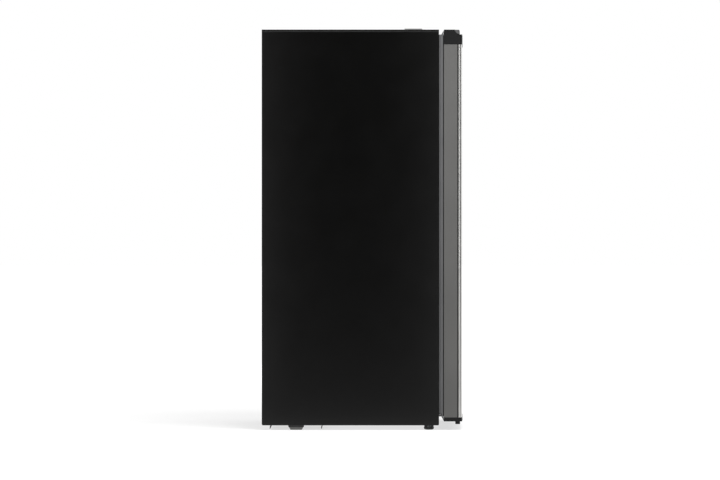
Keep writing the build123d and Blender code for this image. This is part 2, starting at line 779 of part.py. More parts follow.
with BuildPart() as gasket_magnets:
    add(magnet_block)
save("gasket_magnets", gasket_magnets)

# ---------------------------------------------------------------- door racks, hooked over the liner's bosses
rack_front_height = 44
rail_radius = 2.5
rail_height = 62
ear_wall = 2.7
ear_bridge = 4

for name, rack_z in (("lower", lower_rack_z), ("upper", upper_rack_z)):
    boss_z = rack_z + rack_boss_rise
    with BuildPart() as door_rack:
        slab(-rack_half, rack_half, rack_rear_y, rack_rear_y + rack_depth, rack_z, rack_z + rack_height)
        fillet(door_rack.edges().filter_by(Axis.Z).group_by(Axis.Y)[-1], 14)
        fillet(door_rack.edges().group_by(Axis.Z)[0].group_by(Axis.Y)[-1], 4)
        offset(amount=-plastic, openings=door_rack.faces().sort_by(Axis.Z)[-1])
        slab(
            14 - rack_half, rack_half - 14, rack_rear_y + rack_depth / 2, rack_rear_y + rack_depth,
            rack_z + rack_front_height, rack_z + rack_height, Mode.SUBTRACT,
        )
        for side in (-1, 1):
            x0, x1 = sorted((side * rack_half, side * (rack_half + rack_gap - 2)))
            slab(
                x0, x1, boss_y0 - clearance - ear_wall, boss_y1 + clearance + ear_wall,
                boss_z, boss_z + rack_boss_height + ear_bridge,
            )
            slab(
                x0, x1, boss_y0 - clearance, boss_y1 + clearance,
                boss_z, boss_z + rack_boss_height + clearance, Mode.SUBTRACT,
            )
    save(f"door_rack_{name}", door_rack)

    with BuildPart() as rack_rail:
        with BuildSketch(Plane.YZ.offset(plastic - rack_half)):
            with Locations((rack_rear_y + rack_depth - 16, rack_z + rail_height)):
                Circle(rail_radius)
        extrude(amount=2 * (rack_half - plastic))
    save(f"rack_rail_{name}", rack_rail)

# ================================================================ shelves, drawer and chiller
shelf_half = room_half - shelf_side_gap
shelf_rear_y = room_back - liner_corner
crisper_half = room_half - 4
crisper_rear_y = step_front_y - 4
crisper_front_y = crisper_rear_y - crisper_depth
crisper_z = room_bottom + 1
shelf_nose = 22
scoop_width = 120
scoop_depth = 14
grip_ridge = 2
glass_ledge = 4

shelves = (
    ("shelf_lower", lower_shelf_z, front_y + shelf_setback),
    ("shelf_upper", upper_shelf_z, front_y + shelf_setback),
    ("crisper_cover", cover_z, crisper_front_y + 2),
)
for name, shelf_z, shelf_front_y in shelves:
    glass_z = shelf_z + shelf_thickness - glass_thickness - 1
    pane = (
        shelf_bar - shelf_half, shelf_half - shelf_bar,
        shelf_front_y + shelf_nose, shelf_rear_y - shelf_bar,
    )
    with BuildPart() as shelf_trim:
        slab(-shelf_half, shelf_half, shelf_front_y, shelf_rear_y, shelf_z, shelf_z + shelf_thickness)
        fillet(shelf_trim.edges().filter_by(Axis.X).group_by(Axis.Y)[0], 4)
        slab(*pane, glass_z, shelf_z + shelf_thickness, Mode.SUBTRACT)
        slab(
            pane[0] + glass_ledge, pane[1] - glass_ledge, pane[2] + glass_ledge, pane[3] - glass_ledge,
            shelf_z, glass_z, Mode.SUBTRACT,
        )
    save(f"{name}_trim", shelf_trim)

    with BuildPart() as shelf_glass:
        slab(*pane, glass_z, glass_z + glass_thickness)
    save(f"{name}_glass", shelf_glass)

with BuildPart() as crisper_drawer:
    slab(
        -crisper_half, crisper_half, crisper_front_y, crisper_rear_y, crisper_z, crisper_z + crisper_height,
    )
    fillet(crisper_drawer.edges().group_by(Axis.Z)[0], liner_corner)
    offset(amount=-plastic, openings=crisper_drawer.faces().sort_by(Axis.Z)[-1])
    with BuildSketch(Plane.XZ.offset(-crisper_front_y)):
        with Locations((0, crisper_z + crisper_height)):
            SlotOverall(scoop_width, 2 * scoop_depth)
    extrude(amount=-2 * plastic, mode=Mode.SUBTRACT)
    scoop_sill = crisper_z + crisper_height - scoop_depth
    for grip_z in (scoop_sill - 8, scoop_sill - 16):
        slab(
            -scoop_width / 2 - 15, scoop_width / 2 + 15, crisper_front_y - grip_ridge, crisper_front_y,
            grip_z, grip_z + grip_ridge,
        )
save("crisper_drawer", crisper_drawer)

tray_grip = 4
tray_grip_half = 50
drip_tray_rear_y = room_back - 25

with BuildPart() as drip_tray:
    slab(
        -shelf_half, shelf_half, flap_y + tray_grip, drip_tray_rear_y,
        drip_tray_z, drip_tray_z + drip_tray_height,
    )
    fillet(drip_tray.edges().filter_by(Axis.Z), 6)
    offset(amount=-plastic, openings=drip_tray.faces().sort_by(Axis.Z)[-1])
    slab(
        -tray_grip_half, tray_grip_half, flap_y - tray_grip, flap_y + tray_grip,
        drip_tray_z + 5, drip_tray_z + 5 + tray_grip,
    )
save("drip_tray", drip_tray)

chiller_half = room_half - chiller_gap
evaporator_sheet = 1.6
channel_width = 8
channel_pitch = 48
channel_count = 7
frame_depth = 8
frame_side = 7
pivot_radius = 2.5
pivot_length = 6
flap_rear_y = flap_y - clearance
flap_front_y = flap_rear_y - flap_thickness
pivot_y = (flap_front_y + flap_rear_y) / 2
pivot_z = flap_bottom + flap_thickness / 2
evaporator_front_y = flap_y + frame_depth
evaporator_rear_y = room_back - 22
evaporator_bottom = flap_bottom - 2
evaporator_top = room_top - 6
channel_y = (evaporator_front_y + evaporator_rear_y) / 2
channel_length = evaporator_rear_y - evaporator_front_y - 30

with BuildPart() as evaporator:
    with BuildSketch(Plane.XZ.offset(-evaporator_front_y)):
        with Locations((0, (evaporator_bottom + evaporator_top) / 2)):
            RectangleRounded(2 * chiller_half, evaporator_top - evaporator_bottom, 10)
    extrude(amount=-(evaporator_rear_y - evaporator_front_y))
    offset(amount=-evaporator_sheet, openings=evaporator.faces().sort_by(Axis.Y)[0])
    for floor_z in (evaporator_bottom + evaporator_sheet, evaporator_top):
        with BuildSketch(Plane.XY.offset(floor_z)):
            with Locations((0, channel_y)):
                with GridLocations(channel_pitch, 1, channel_count, 1):
                    SlotOverall(channel_length, channel_width, rotation=90)
                with GridLocations(1, channel_length - channel_width, 1, 2):
                    SlotOverall(channel_pitch * (channel_count - 1) + channel_width, channel_width)
        extrude(amount=1.2)
    for side in (-1, 1):
        for hanger_y in (evaporator_front_y + 9, evaporator_rear_y - 9):
            post(side * (chiller_half - 14), hanger_y, evaporator_top, room_top, 5)
save("evaporator", evaporator)

with BuildPart() as chiller_frame:
    slab(
        -chiller_half - frame_side, chiller_half + frame_side, flap_y, evaporator_front_y,
        evaporator_bottom - 2, room_top - 1,
    )
    slab(
        5 - chiller_half, chiller_half - 5, flap_y, evaporator_front_y,
        evaporator_bottom + 6, evaporator_top - 6, Mode.SUBTRACT,
    )
    for side in (-1, 1):
        x0, x1 = sorted((side * (chiller_half + 1), side * (chiller_half + frame_side)))
        slab(x0, x1, flap_front_y - 1, flap_y, flap_bottom - 2, flap_bottom + flap_thickness + 2)
        with Locations(Location((side * chiller_half, pivot_y, pivot_z), (0, 90, 0))):
            Cylinder(pivot_radius + pin_clearance, 4 * pivot_length, mode=Mode.SUBTRACT)
save("chiller_frame", chiller_frame)

with BuildPart() as chiller_flap:
    slab(
        -chiller_half, chiller_half, flap_front_y, flap_rear_y, flap_bottom, flap_bottom + flap_height,
    )
    fillet(chiller_flap.edges().filter_by(Axis.X).group_by(Axis.Z)[0], flap_thickness / 2 - 0.1)
    fillet(chiller_flap.edges().filter_by(Axis.X).group_by(Axis.Z)[-1], 3)
    slab(
        -45, 45, flap_front_y - 5, flap_front_y,
        flap_bottom + flap_height - 22, flap_bottom + flap_height - 16,
    )
    with BuildSketch(Plane.YZ.offset(-chiller_half - pivot_length)):
        with Locations((pivot_y, pivot_z)):
            Circle(pivot_radius)
    extrude(amount=2 * (chiller_half + pivot_length))
save("chiller_flap", chiller_flap)

thermostat_width = 50
thermostat_y = front_y + 131
thermostat_depth = 75
thermostat_height = 64
thermostat_z = (upper_shelf_z + shelf_thickness + drip_tray_z - thermostat_height) / 2
knob_radius = 18
knob_depth = 14
knob_x = room_half - thermostat_width / 2
knob_z = thermostat_z + thermostat_height / 2

with BuildPart() as thermostat_housing:
    slab(
        room_half - thermostat_width, room_half, thermostat_y, thermostat_y + thermostat_depth,
        thermostat_z, thermostat_z + thermostat_height,
    )
    fillet(thermostat_housing.edges().filter_by(Axis.Y).group_by(Axis.X)[0], 10)
    fillet(thermostat_housing.faces().sort_by(Axis.X)[0].edges().filter_by(Axis.Z), 6)
    post(
        room_half - thermostat_width / 2, thermostat_y + thermostat_depth / 2,
        thermostat_z, thermostat_z + 6, 8, Mode.SUBTRACT,
    )
save("thermostat_housing", thermostat_housing)

with BuildPart() as thermostat_knob:
    with BuildSketch(Plane.XZ.offset(-(thermostat_y - clearance))):
        with Locations((knob_x, knob_z)):
            Circle(knob_radius)
    extrude(amount=4)
    with BuildSketch(Plane.XZ.offset(-(thermostat_y - clearance - 4))):
        with Locations((knob_x, knob_z)):
            SlotOverall(2 * knob_radius - 4, 9, rotation=90)
    extrude(amount=knob_depth - 4)
save("thermostat_knob", thermostat_knob)

# ================================================================ compressor bay
compressor_x = 60
compressor_y = (rail_front_y + rail_rear_y) / 2
compressor_length = 150
compressor_depth = 110
compressor_corner = 50
grommet_x = 80
grommet_y = 40
grommet_radius = 9
grommet_neck = 5
rail_top = foot_height + rail_sheet
mount_z = rail_top + 16
mount_sheet = 3
shell_base = mount_z + mount_sheet
shell_height = 122
seam_z = shell_base + 64
shell_top = shell_base + shell_height

with BuildPart() as compressor_mount:
    with BuildSketch(Plane.XY.offset(mount_z)):
        with Locations((compressor_x, compressor_y)):
            RectangleRounded(2 * grommet_x + 24, 2 * grommet_y + 24, 12)
            with GridLocations(2 * grommet_x, 2 * grommet_y, 2, 2):
                Circle(grommet_neck, mode=Mode.SUBTRACT)
    extrude(amount=mount_sheet)
save("compressor_mount", compressor_mount)

with BuildPart() as compressor_shell:
    with BuildSketch(Plane.XY.offset(shell_base)):
        with Locations((compressor_x, compressor_y)):
            RectangleRounded(compressor_length, compressor_depth, compressor_corner)
    extrude(amount=shell_height)
    fillet(compressor_shell.faces().sort_by(Axis.Z)[-1].edges(), 26)
    fillet(compressor_shell.faces().sort_by(Axis.Z)[0].edges(), 14)
    with BuildSketch(Plane.XY.offset(seam_z)):
        with Locations((compressor_x, compressor_y)):
            RectangleRounded(compressor_length + 4, compressor_depth + 4, compressor_corner + 2)
    extrude(amount=5)
save("compressor_shell", compressor_shell)

with BuildPart() as compressor_grommets:
    with Locations((compressor_x, compressor_y)):
        with GridLocations(2 * grommet_x, 2 * grommet_y, 2, 2):
            with Locations((0, 0, (rail_top + mount_z) / 2)):
                Cylinder(grommet_radius, mount_z - rail_top)
            with Locations((0, 0, mount_z + mount_sheet / 2)):
                Cylinder(grommet_neck, mount_sheet)
            with Locations((0, 0, shell_base + 2)):
                Cylinder(grommet_radius - 1, 4)
save("compressor_grommets", compressor_grommets)

rivet_setback = 14
rivet_inset = 12
rivet_radius = 4
rivet_head = 2
washer_z = shell_base + 4

with BuildPart() as base_fasteners:
    for side in (-1, 1):
        for rivet_y in (rail_front_y + rivet_setback, rail_rear_y - rivet_setback):
            post(side * (rail_half - rivet_inset), rivet_y, rail_top, rail_top + rivet_head, rivet_radius)
    with BuildSketch(Plane.XY.offset(washer_z)):
        with Locations((compressor_x, compressor_y)):
            with GridLocations(2 * grommet_x, 2 * grommet_y, 2, 2):
                Circle(7)
    extrude(amount=1.2)
    with BuildSketch(Plane.XY.offset(washer_z + 1.2)):
        with Locations((compressor_x, compressor_y)):
            with GridLocations(2 * grommet_x, 2 * grommet_y, 2, 2):
                RegularPolygon(5, 6, major_radius=False)
    extrude(amount=4)
save("base_fasteners", base_fasteners)

relay_length = 34
relay_half = 19
relay_z = shell_base + 18
relay_height = 56
relay_rear_x = compressor_x - compressor_length / 2
gland_radius = 8
gland_bore = 4
gland_length = 12

with BuildPart() as relay_box:
    slab(
        relay_rear_x - relay_length, relay_rear_x, compressor_y - relay_half, compressor_y + relay_half,
        relay_z, seam_z - 1,
    )
    slab(
        relay_rear_x - relay_length, relay_rear_x - 3, compressor_y - relay_half, compressor_y + relay_half,
        relay_z, relay_z + relay_height,
    )
    fillet(relay_box.edges().filter_by(Axis.Z).group_by(Axis.X)[0], 4)
    with BuildSketch(Plane.XZ.offset(-(compressor_y + relay_half))):
        with Locations((relay_rear_x - relay_length / 2, relay_z + 18)):
            Circle(gland_bore)
    extrude(amount=relay_half, mode=Mode.SUBTRACT)
save("relay_box", relay_box)

with BuildPart() as cable_gland:
    with BuildSketch(Plane.XZ.offset(-(compressor_y + relay_half))):
        with Locations((relay_rear_x - relay_length / 2, relay_z + 18)):
            RegularPolygon(gland_radius, 6)
            Circle(gland_bore, mode=Mode.SUBTRACT)
    extrude(amount=-gland_length / 2)
    with BuildSketch(Plane.XZ.offset(-(compressor_y + relay_half + gland_length / 2))):
        with Locations((relay_rear_x - relay_length / 2, relay_z + 18)):
            Circle(gland_radius - 1.5)
            Circle(gland_bore, mode=Mode.SUBTRACT)
    extrude(amount=-gland_length / 2)
save("cable_gland", cable_gland)

pan_length = 130
pan_depth = 84
pan_height = 22
pan_y = compressor_y + 2
drain_bottom = shell_top + 8

with BuildPart() as evaporation_tray:
    slab(
        compressor_x - pan_length / 2, compressor_x + pan_length / 2,
        pan_y - pan_depth / 2, pan_y + pan_depth / 2,
        shell_top, shell_top + pan_height,
    )
    fillet(evaporation_tray.edges().filter_by(Axis.Z), 14)
    offset(amount=-plastic, openings=evaporation_tray.faces().sort_by(Axis.Z)[-1])
save("evaporation_tray", evaporation_tray)

with BuildPart() as drain_tube:
    post(drain_x, drain_y, drain_bottom, step_top - liner_wall, drain_radius)
    post(drain_x, drain_y, drain_bottom, step_top - liner_wall, drain_radius - 2, Mode.SUBTRACT)
save("drain_tube", drain_tube)


def tube(name, radius, bend, *corners):
    """A bent tube along a row of corners."""
    with BuildPart() as pipe:
        with BuildLine() as route:
            FilletPolyline(*corners, radius=bend)
        with BuildSketch(Plane(origin=corners[0], z_dir=Vector(*corners[1]) - Vector(*corners[0]))):
            Circle(radius)
        sweep(path=route.wire())
    save(name, pipe)


shell_rear_y = compressor_y + compressor_depth / 2
tube_bend = 7
tube_gap = 9  # tube axes to the back of the cabinet
run_y = back_y - tube_gap
suction_radius = 3.6
suction_z = shell_base + 51
suction_rise = 58
line_lead = 18  # the suction line slants into the rear wall over this height
discharge_radius = 2.6
discharge_z = shell_base + 31
discharge_rise = 68
discharge_side = 30
return_z = bay_top - 23
drier_x = -110
drier_y = bay_front_y + 69
drier_z = rail_top + 58
drier_length = 84
drier_radius = 9
neck_radius = 3
grommet_height = 5
discharge_x = half - discharge_side
slant_z = suction_z + suction_rise + line_lead

tube(
    "suction_tube", suction_radius, tube_bend,
    (compressor_x + 18, shell_rear_y, suction_z), (compressor_x + 18, run_y, suction_z),
    (line_x, run_y, suction_z), (line_x, run_y, suction_z + suction_rise),
    (line_x, line_y, slant_z), (line_x, line_y, line_top),
)
tube(
    "discharge_tube", discharge_radius, tube_bend,
    (compressor_x - 12, shell_rear_y, discharge_z), (compressor_x - 12, run_y, discharge_z),
    (discharge_x, run_y, discharge_z), (discharge_x, run_y, discharge_z + discharge_rise),
    (half - sheet, run_y, discharge_z + discharge_rise),
)
tube(
    "condenser_return_tube", discharge_radius, tube_bend,
    (sheet - half, drier_y, return_z), (drier_x, drier_y, return_z),
    (drier_x, drier_y, drier_z + drier_length),
)

with BuildPart() as filter_drier:
    with BuildSketch(Plane.XZ.offset(-drier_y)):
        with BuildLine():
            Polyline(
                (drier_x, drier_z), (drier_x + neck_radius, drier_z), (drier_x + neck_radius, drier_z + 6),
                (drier_x + drier_radius, drier_z + 16),
                (drier_x + drier_radius, drier_z + drier_length - 16),
                (drier_x + neck_radius, drier_z + drier_length - 6),
                (drier_x + neck_radius, drier_z + drier_length), (drier_x, drier_z + drier_length),
                close=True,
            )
        make_face()
    revolve(axis=Axis((drier_x, drier_y, 0), (0, 0, 1)))
save("filter_drier", filter_drier)

with BuildPart() as line_grommet:
    post(line_x, line_y, bay_top - grommet_height, bay_top, 14)
    post(line_x, line_y, bay_top - grommet_height, bay_top, suction_radius, Mode.SUBTRACT)
save("line_grommet", line_grommet)

capillary_radius = 1
coil_loop = 16
coil_turns = 3
coil_rise = 5
capillary_x = line_x + 8
coil_x = (drier_x + capillary_x) / 2 - 6
coil_drop = 26
coil_exit = 22
capillary_drop = 40
coil_z = drier_z - coil_drop
coil_points = [
    Vector(coil_x, drier_y, coil_z + coil_rise * step / 8)
    + Vector(coil_loop, 0, 0).rotate(Axis.Z, 45 * step)
    for step in range(8 * coil_turns + 1)
]

with BuildPart() as capillary_tube:
    with BuildLine() as route:
        Spline(
            (drier_x, drier_y, drier_z), (drier_x, drier_y, drier_z - 8), *coil_points,
            (coil_x + 4, drier_y + coil_exit, coil_z + coil_rise * coil_turns + 14),
            (capillary_x, line_y, coil_z + coil_rise * coil_turns + 50),
            (capillary_x, line_y, bay_top - capillary_drop), (capillary_x, line_y, bay_top - grommet_height),
        )
    with BuildSketch(Plane(origin=route.wire() @ 0, z_dir=route.wire() % 0)):
        Circle(capillary_radius)
    sweep(path=route.wire())
save("capillary_tube", capillary_tube)
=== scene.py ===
import json
import math

import bmesh
import bpy
from mathutils import Matrix, Vector


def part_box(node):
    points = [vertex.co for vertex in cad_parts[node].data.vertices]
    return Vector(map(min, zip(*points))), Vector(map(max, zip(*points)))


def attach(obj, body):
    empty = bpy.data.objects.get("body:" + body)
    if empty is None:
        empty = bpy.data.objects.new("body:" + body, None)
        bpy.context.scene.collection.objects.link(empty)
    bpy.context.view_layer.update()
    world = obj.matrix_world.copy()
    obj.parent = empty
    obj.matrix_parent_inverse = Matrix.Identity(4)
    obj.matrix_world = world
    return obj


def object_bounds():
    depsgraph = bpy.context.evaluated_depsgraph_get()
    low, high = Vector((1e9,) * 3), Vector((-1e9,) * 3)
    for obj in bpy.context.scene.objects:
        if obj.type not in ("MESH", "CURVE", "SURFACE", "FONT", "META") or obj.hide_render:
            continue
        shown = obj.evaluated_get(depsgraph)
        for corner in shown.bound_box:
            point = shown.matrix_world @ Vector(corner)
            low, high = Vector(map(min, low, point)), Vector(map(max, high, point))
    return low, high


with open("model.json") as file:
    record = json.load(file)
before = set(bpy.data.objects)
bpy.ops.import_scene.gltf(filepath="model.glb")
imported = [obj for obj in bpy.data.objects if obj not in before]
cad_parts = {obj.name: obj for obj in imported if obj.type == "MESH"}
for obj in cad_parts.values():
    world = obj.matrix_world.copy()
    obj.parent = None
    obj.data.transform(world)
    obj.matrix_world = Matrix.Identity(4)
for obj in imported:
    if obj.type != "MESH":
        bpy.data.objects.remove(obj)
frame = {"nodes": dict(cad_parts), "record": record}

CAD_LOW, CAD_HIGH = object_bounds()
MM = 0.001
NODES = frame["nodes"]


# ---------------------------------------------------------------- camera
shell_low, shell_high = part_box("cabinet_shell")
CAMERA_DISTANCE = 9.0
FRAME_WIDTH = 1.527  # width seen at the cabinet's near side
SENSOR_WIDTH = 36
EYE_BACK = 0.0024  # the camera stands behind the middle of the part's depth
EYE_DROP = 0.0001  # and below the middle of the cabinet's height
SHIFT_ACROSS = 0.0042  # how far the picture is shifted, measured at the cabinet's near side
SHIFT_DOWN = 0.0218
VIEW_Y = (CAD_LOW.y + CAD_HIGH.y) / 2 + EYE_BACK
VIEW_Z = shell_high.z / 2 - EYE_DROP

camera_data = bpy.data.cameras.new("camera")
camera_data.sensor_width = SENSOR_WIDTH
camera_data.lens = SENSOR_WIDTH * CAMERA_DISTANCE / FRAME_WIDTH
camera_data.shift_x = -SHIFT_ACROSS / FRAME_WIDTH
camera_data.shift_y = -SHIFT_DOWN / FRAME_WIDTH
camera_data.clip_end = 100
camera = bpy.data.objects.new("camera", camera_data)
camera.location = (shell_low.x - CAMERA_DISTANCE, VIEW_Y, VIEW_Z)
camera.rotation_euler = (math.radians(90), 0, math.radians(-90))
bpy.context.scene.collection.objects.link(camera)
bpy.context.scene.camera = camera
bpy.context.scene.view_settings.view_transform = "Standard"


# ---------------------------------------------------------------- material building blocks
class Mat:
    """A node material with one Principled shader and object coordinates."""

    def __init__(self, name, base, roughness=0.5, metallic=0.0, **sockets):
        self.material = bpy.data.materials.new(name)
        self.material.use_nodes = True
        self.tree = self.material.node_tree
        self.shader = self.tree.nodes["Principled BSDF"]
        self.shader.inputs["Base Color"].default_value = base
        self.shader.inputs["Roughness"].default_value = roughness
        self.shader.inputs["Metallic"].default_value = metallic
        for key, value in sockets.items():
            self.shader.inputs[key.replace("_", " ")].default_value = value
        self.coords = self.node("ShaderNodeTexCoord").outputs["Object"]
        self.base = base
        self.normal = None

    def node(self, kind, **settings):
        n = self.tree.nodes.new(kind)
        for key, value in settings.items():
            setattr(n, key, value)
        return n

    def link(self, a, b):
        self.tree.links.new(a, b)

    def mapped(self, scale):
        mapping = self.node("ShaderNodeMapping")
        mapping.inputs["Scale"].default_value = scale
        self.link(self.coords, mapping.inputs["Vector"])
        return mapping.outputs["Vector"]

    def noise(self, scale, detail=2.0, roughness=0.5, stretch=(1, 1, 1)):
        n = self.node("ShaderNodeTexNoise")
        n.inputs["Scale"].default_value = scale
        n.inputs["Detail"].default_value = detail
        n.inputs["Roughness"].default_value = roughness
        self.link(self.mapped(stretch), n.inputs["Vector"])
        return n.outputs["Fac"]

    def voronoi(self, scale):
        n = self.node("ShaderNodeTexVoronoi", feature="F1")
        n.inputs["Scale"].default_value = scale
        self.link(self.coords, n.inputs["Vector"])
        return n.outputs["Distance"]

    def ramp(self, value, low, high, out_low=0.0, out_high=1.0):
        n = self.node("ShaderNodeMapRange", clamp=True)
        n.inputs["From Min"].default_value = low
        n.inputs["From Max"].default_value = high
        n.inputs["To Min"].default_value = out_low
        n.inputs["To Max"].default_value = out_high
        self.link(value, n.inputs["Value"])
        return n.outputs["Result"]

    def mix(self, factor, a, b):
        n = self.node("ShaderNodeMix", data_type="RGBA")
        self.link(factor, n.inputs["Factor"])
        for socket, value in ((n.inputs[6], a), (n.inputs[7], b)):
            if isinstance(value, tuple):
                socket.default_value = value
            else:
                self.link(value, socket)
        return n.outputs[2]

    def set_colour(self, output):
        self.link(output, self.shader.inputs["Base Color"])

    def tint(self, value, low, high, dark, light):
        """Base colour that varies between dark and light multiples of itself."""
        factor = self.ramp(value, low, high)
        a = tuple(min(c * dark, 1) for c in self.base[:3]) + (1.0,)
        b = tuple(min(c * light, 1) for c in self.base[:3]) + (1.0,)
        self.set_colour(self.mix(factor, a, b))

    def rough(self, value, low, high, out_low, out_high):
        self.link(self.ramp(value, low, high, out_low, out_high), self.shader.inputs["Roughness"])

    def bump(self, height, distance, strength=1.0):
        n = self.node("ShaderNodeBump")
        n.inputs["Distance"].default_value = distance
        n.inputs["Strength"].default_value = strength
        self.link(height, n.inputs["Height"])
        if self.normal is not None:
            self.link(self.normal, n.inputs["Normal"])
        self.normal = n.outputs["Normal"]
        self.link(self.normal, self.shader.inputs["Normal"])


def paint_textured(name, base, grain=900, depth=0.00006, roughness=0.42, strength=0.7, wear=0.05, **sockets):
    m = Mat(name, base, roughness, **sockets)
    m.bump(m.noise(grain, 2, 0.55), depth, strength)
    m.tint(m.noise(5, 2), 0.3, 0.7, 1 - 2 * wear, 1 + 2 * wear)
    m.rough(m.noise(17, 2), 0.3, 0.7, roughness - wear, roughness + wear)
    return m


def moulded(name, base, roughness=0.45, grain=1400, depth=0.00003, **sockets):
    m = Mat(name, base, roughness, **sockets)
    m.bump(m.voronoi(grain), depth, 0.5)
    m.tint(m.noise(14, 3), 0.3, 0.7, 0.93, 1.05)
    m.rough(m.noise(45, 3), 0.3, 0.7, roughness - 0.05, roughness + 0.06)
    return m


def glossy(name, base, roughness=0.2, **sockets):
    m = Mat(name, base, roughness, **sockets)
    m.bump(m.noise(9, 2, 0.4), 0.0001, 0.04)
    m.tint(m.noise(7, 3), 0.3, 0.7, 0.985, 1.01)
    m.rough(m.noise(12, 2), 0.3, 0.7, roughness - 0.02, roughness + 0.04)
    return m


def brushed(name, base, roughness=0.32, stretch=(1, 0.05, 0.02), scale=700, metallic=1.0):
    m = Mat(name, base, roughness, metallic)
    lines = m.noise(scale, 3, 0.7, stretch)
    m.bump(lines, 0.00002, 0.35)
    m.tint(lines, 0.3, 0.7, 0.93, 1.06)
    m.rough(m.noise(4, 2), 0.3, 0.7, roughness - 0.015, roughness + 0.02)
    return m


def zinc(name, base, roughness=0.42, metallic=0.9):
    m = Mat(name, base, roughness, metallic)
    m.tint(m.voronoi(150), 0.1, 0.8, 0.9, 1.08)
    m.rough(m.noise(40, 3), 0.3, 0.7, roughness - 0.05, roughness + 0.08)
    m.bump(m.noise(500, 2), 0.00002, 0.4)
    return m


materials = {
    "cabinet_black": paint_textured(
        "cabinet_black", (0.0011, 0.0011, 0.001, 1), 1500, 0.00001, 0.2, 0.25, 0.01, Specular_IOR_Level=0.35
    ),
    "inner_black": paint_textured("inner_black", (0.012, 0.012, 0.0125, 1), 700, 0.00004, 0.5),
    "galvanised": zinc("galvanised", (0.36, 0.37, 0.38, 1)),
    "door_steel": brushed("door_steel", (0.6, 0.595, 0.58, 1)),
    "door_grey": paint_textured("door_grey", (0.122, 0.1205, 0.1165, 1), 1100, 0.00002, 0.5),
    "cap_black": moulded("cap_black", (0.010, 0.010, 0.0102, 1), 0.42, Specular_IOR_Level=0.2),
    "cover_grey": moulded("cover_grey", (0.085, 0.085, 0.086, 1), 0.4),
    "liner_white": glossy("liner_white", (0.72, 0.73, 0.735, 1), 0.24),
    "trim_white": glossy("trim_white", (0.7, 0.71, 0.715, 1), 0.3),
    "gasket_grey": moulded(
        "gasket_grey", (0.128, 0.129, 0.132, 1), 0.6, 600, 0.00003, Specular_IOR_Level=0.2
    ),
    "magnet_brown": moulded("magnet_brown", (0.05, 0.04, 0.035, 1), 0.7),
    "foam_yellow": moulded("foam_yellow", (0.72, 0.6, 0.34, 1), 0.85, 500, 0.0002),
    "compressor_black": paint_textured("compressor_black", (0.012, 0.012, 0.013, 1), 500, 0.00003, 0.28),
    "relay_plastic": moulded("relay_plastic", (0.035, 0.035, 0.037, 1), 0.5),
    "rubber_black": moulded("rubber_black", (0.018, 0.018, 0.018, 1), 0.75, 900, 0.00004),
    "tray_black": moulded("tray_black", (0.028, 0.028, 0.03, 1), 0.5),
    "hose_grey": moulded("hose_grey", (0.36, 0.36, 0.36, 1), 0.5),
    "zinc_steel": zinc("zinc_steel", (0.5, 0.52, 0.53, 1), 0.34, 0.4),
    "foot_black": moulded("foot_black", (0.016, 0.016, 0.016, 1), 0.5),
    "pad_grey": moulded("pad_grey", (0.36, 0.355, 0.345, 1), 0.7, 800, 0.00005),
    "knob_white": glossy("knob_white", (0.7, 0.705, 0.71, 1), 0.28),
}


GLASS_IOR = 1.5


def see_through(name, base, roughness, transmission):
    m = Mat(name, base, roughness)
    m.shader.inputs["Transmission Weight"].default_value = transmission
    m.shader.inputs["IOR"].default_value = GLASS_IOR
    m.bump(m.noise(20, 2), 0.0002, 0.06)
    m.rough(m.noise(30, 3), 0.3, 0.7, max(roughness - 0.02, 0.01), roughness + 0.03)
    return m


materials["shelf_glass"] = see_through("shelf_glass", (0.82, 0.94, 0.9, 1), 0.03, 0.95)
materials["crisper_clear"] = see_through("crisper_clear", (0.8, 0.87, 0.92, 1), 0.08, 0.75)
materials["rack_clear"] = see_through("rack_clear", (0.86, 0.9, 0.93, 1), 0.07, 0.75)

rod = Mat("chrome_rod", (0.75, 0.75, 0.76, 1), 0.12, 1.0)
rod.rough(rod.noise(60, 3), 0.3, 0.7, 0.08, 0.18)
rod.bump(rod.noise(300, 2), 0.00001, 0.3)
materials["chrome_rod"] = rod

sheet_aluminium = Mat("evaporator_aluminium", (0.62, 0.63, 0.64, 1), 0.36, 1.0)
sheet_aluminium.tint(sheet_aluminium.noise(22, 4), 0.3, 0.7, 0.88, 1.1)
sheet_aluminium.rough(sheet_aluminium.noise(50, 4), 0.3, 0.7, 0.3, 0.5)
sheet_aluminium.bump(sheet_aluminium.noise(240, 3), 0.00004, 0.5)
materials["evaporator_aluminium"] = sheet_aluminium

tube_copper = Mat("copper", (0.62, 0.27, 0.14, 1), 0.3, 1.0)
tube_copper.tint(tube_copper.noise(34, 4), 0.3, 0.7, 0.6, 1.1)
tube_copper.rough(tube_copper.noise(70, 3), 0.3, 0.7, 0.22, 0.45)
tube_copper.bump(tube_copper.noise(200, 2), 0.00002, 0.3)
materials["copper"] = tube_copper

slot_of = {s["node"]: s["material_slot"] for s in frame["record"]["subparts"]}
for node, obj in NODES.items():
    obj.data.materials.clear()
    obj.data.materials.append(materials[slot_of[node]].material)


# ---------------------------------------------------------------- small pieces
def piece(name, body, slot_name, build, smooth=True):
    """A mesh piece made by build(bm), riding on a body and finished in a slot's material."""
    bm = bmesh.new()
    build(bm)
    bmesh.ops.remove_doubles(bm, verts=bm.verts, dist=1e-6)
    bmesh.ops.recalc_face_normals(bm, faces=bm.faces)
    for face in bm.faces:
        face.smooth = smooth
    mesh = bpy.data.meshes.new(name)
    bm.to_mesh(mesh)
    bm.free()
    mesh.materials.append(materials[slot_name].material)
    obj = bpy.data.objects.new(name, mesh)
    bpy.context.scene.collection.objects.link(obj)
    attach(obj, body)
    return obj


